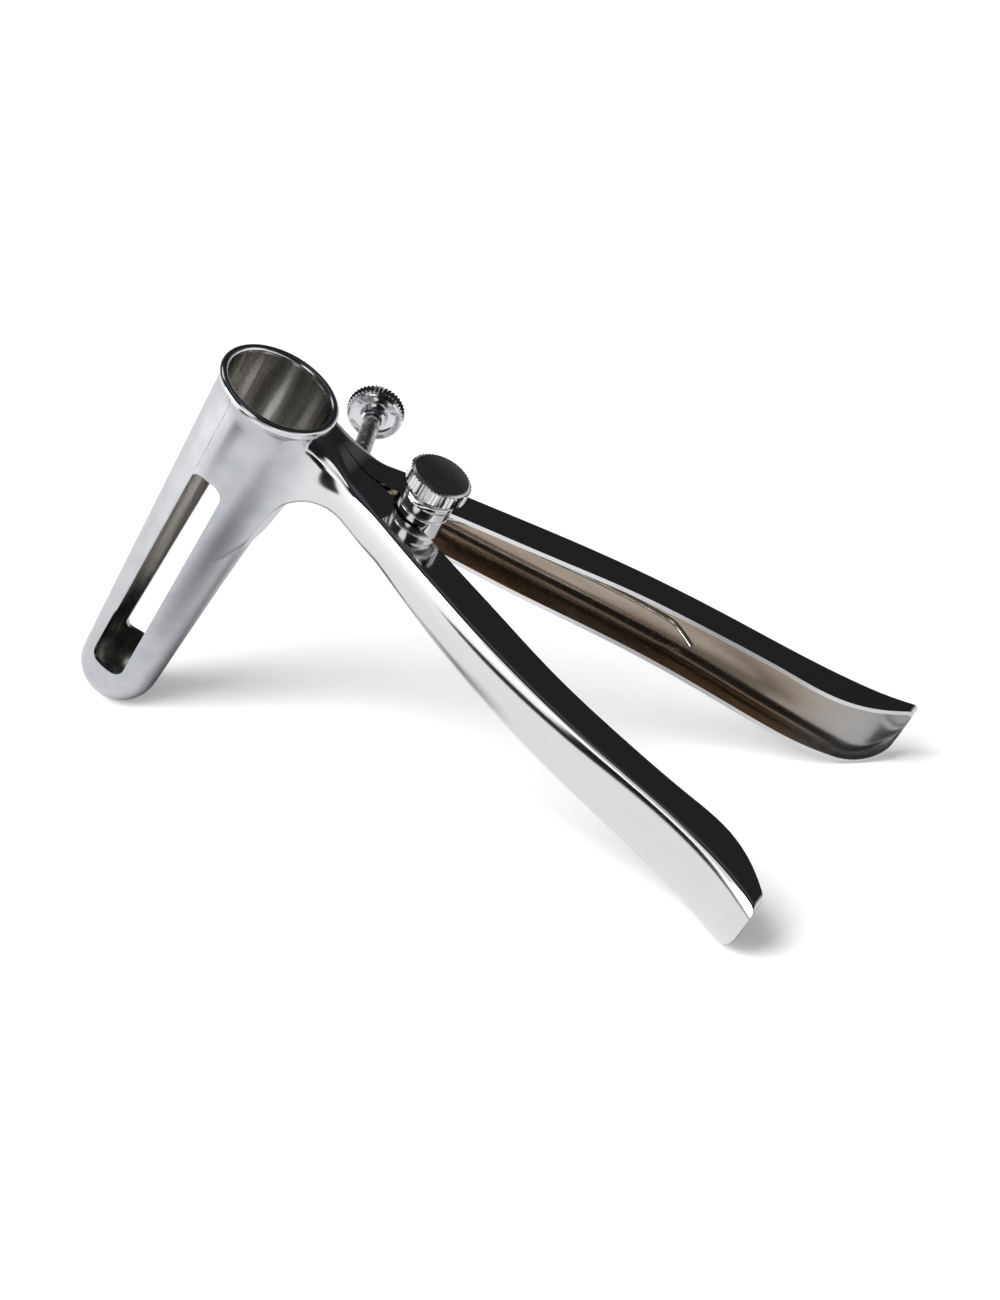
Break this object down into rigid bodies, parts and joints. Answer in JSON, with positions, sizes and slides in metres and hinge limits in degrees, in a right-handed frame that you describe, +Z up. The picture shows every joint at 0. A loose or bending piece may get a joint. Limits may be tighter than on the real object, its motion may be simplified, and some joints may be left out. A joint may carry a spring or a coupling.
{
  "type": "bivalve speculum",
  "caption": "Hand-held bivalve speculum: two slotted half-tube blades, sprung channel handles, a hinge screw and a spreading screw.",
  "frame": {"origin": "centre of the bounding box in X and Y, on the plane that the blade tips and both handle ends stand on", "axes": "+Z up, +X from the tube towards the handle ends, +Y towards the rear handle; the mirror plane of the handles is y = 0"},
  "size_m": [0.1874, 0.1004, 0.0939],
  "materials": {
    "bright_plate": "mirror-polished nickel-chrome plate",
    "satin_blade": "bright satin nickel plate",
    "spring_wire": "drawn spring wire"
  },
  "bodies": {
    "front": {"front_blade": "satin_blade", "front_handle": "bright_plate", "front_upper_knuckle": "bright_plate", "front_lower_knuckle": "bright_plate", "thrust_pad": "bright_plate", "spring_coil": "spring_wire", "spring_front_leg": "spring_wire"},
    "rear": {"rear_blade": "satin_blade", "rear_handle": "bright_plate", "rear_upper_knuckle": "bright_plate", "rear_lower_knuckle": "bright_plate", "set_screw_boss": "bright_plate", "hinge_washer": "bright_plate", "spring_rear_leg": "spring_wire"},
    "pivot_screw": {"hinge_screw": "bright_plate"},
    "spreading_stem": {"set_screw_stem": "bright_plate"},
    "spreading_knob": {"set_screw_knob": "bright_plate"}
  },
  "joints": [
    {"name": "handle_hinge", "type": "hinge", "parent": "front", "child": "rear", "pos_m": [-0.00729, 0, 0.06068], "axis": [-0.4725, 0, -0.8813], "range_deg": [0, 30], "stiffness_Nm_per_rad": 0.25, "springref_deg": -20.05},
    {"name": "spreading_screw_advance", "type": "slide", "parent": "rear", "child": "spreading_stem", "axis": [0.2577, -0.9563, -0.1382], "range_m": [0, 0.0089]},
    {"name": "spreading_screw_turn", "type": "hinge", "parent": "spreading_stem", "child": "spreading_knob", "pos_m": [-0.03046, 0.02726, 0.07129], "axis": [0.2577, -0.9563, -0.1382], "range_deg": [0, 4040]},
    {"name": "hinge_screw_turn", "type": "hinge", "parent": "front", "child": "pivot_screw", "pos_m": [-0.00162, 0, 0.07125], "axis": [0.4725, 0, 0.8813], "range_deg": [0, 180]}
  ],
  "couplings": [
    {"joint": "spreading_screw_advance", "follows": "handle_hinge", "m_per_rad": 0.01675},
    {"joint": "spreading_screw_turn", "follows": "handle_hinge", "ratio": 132.59}
  ]
}
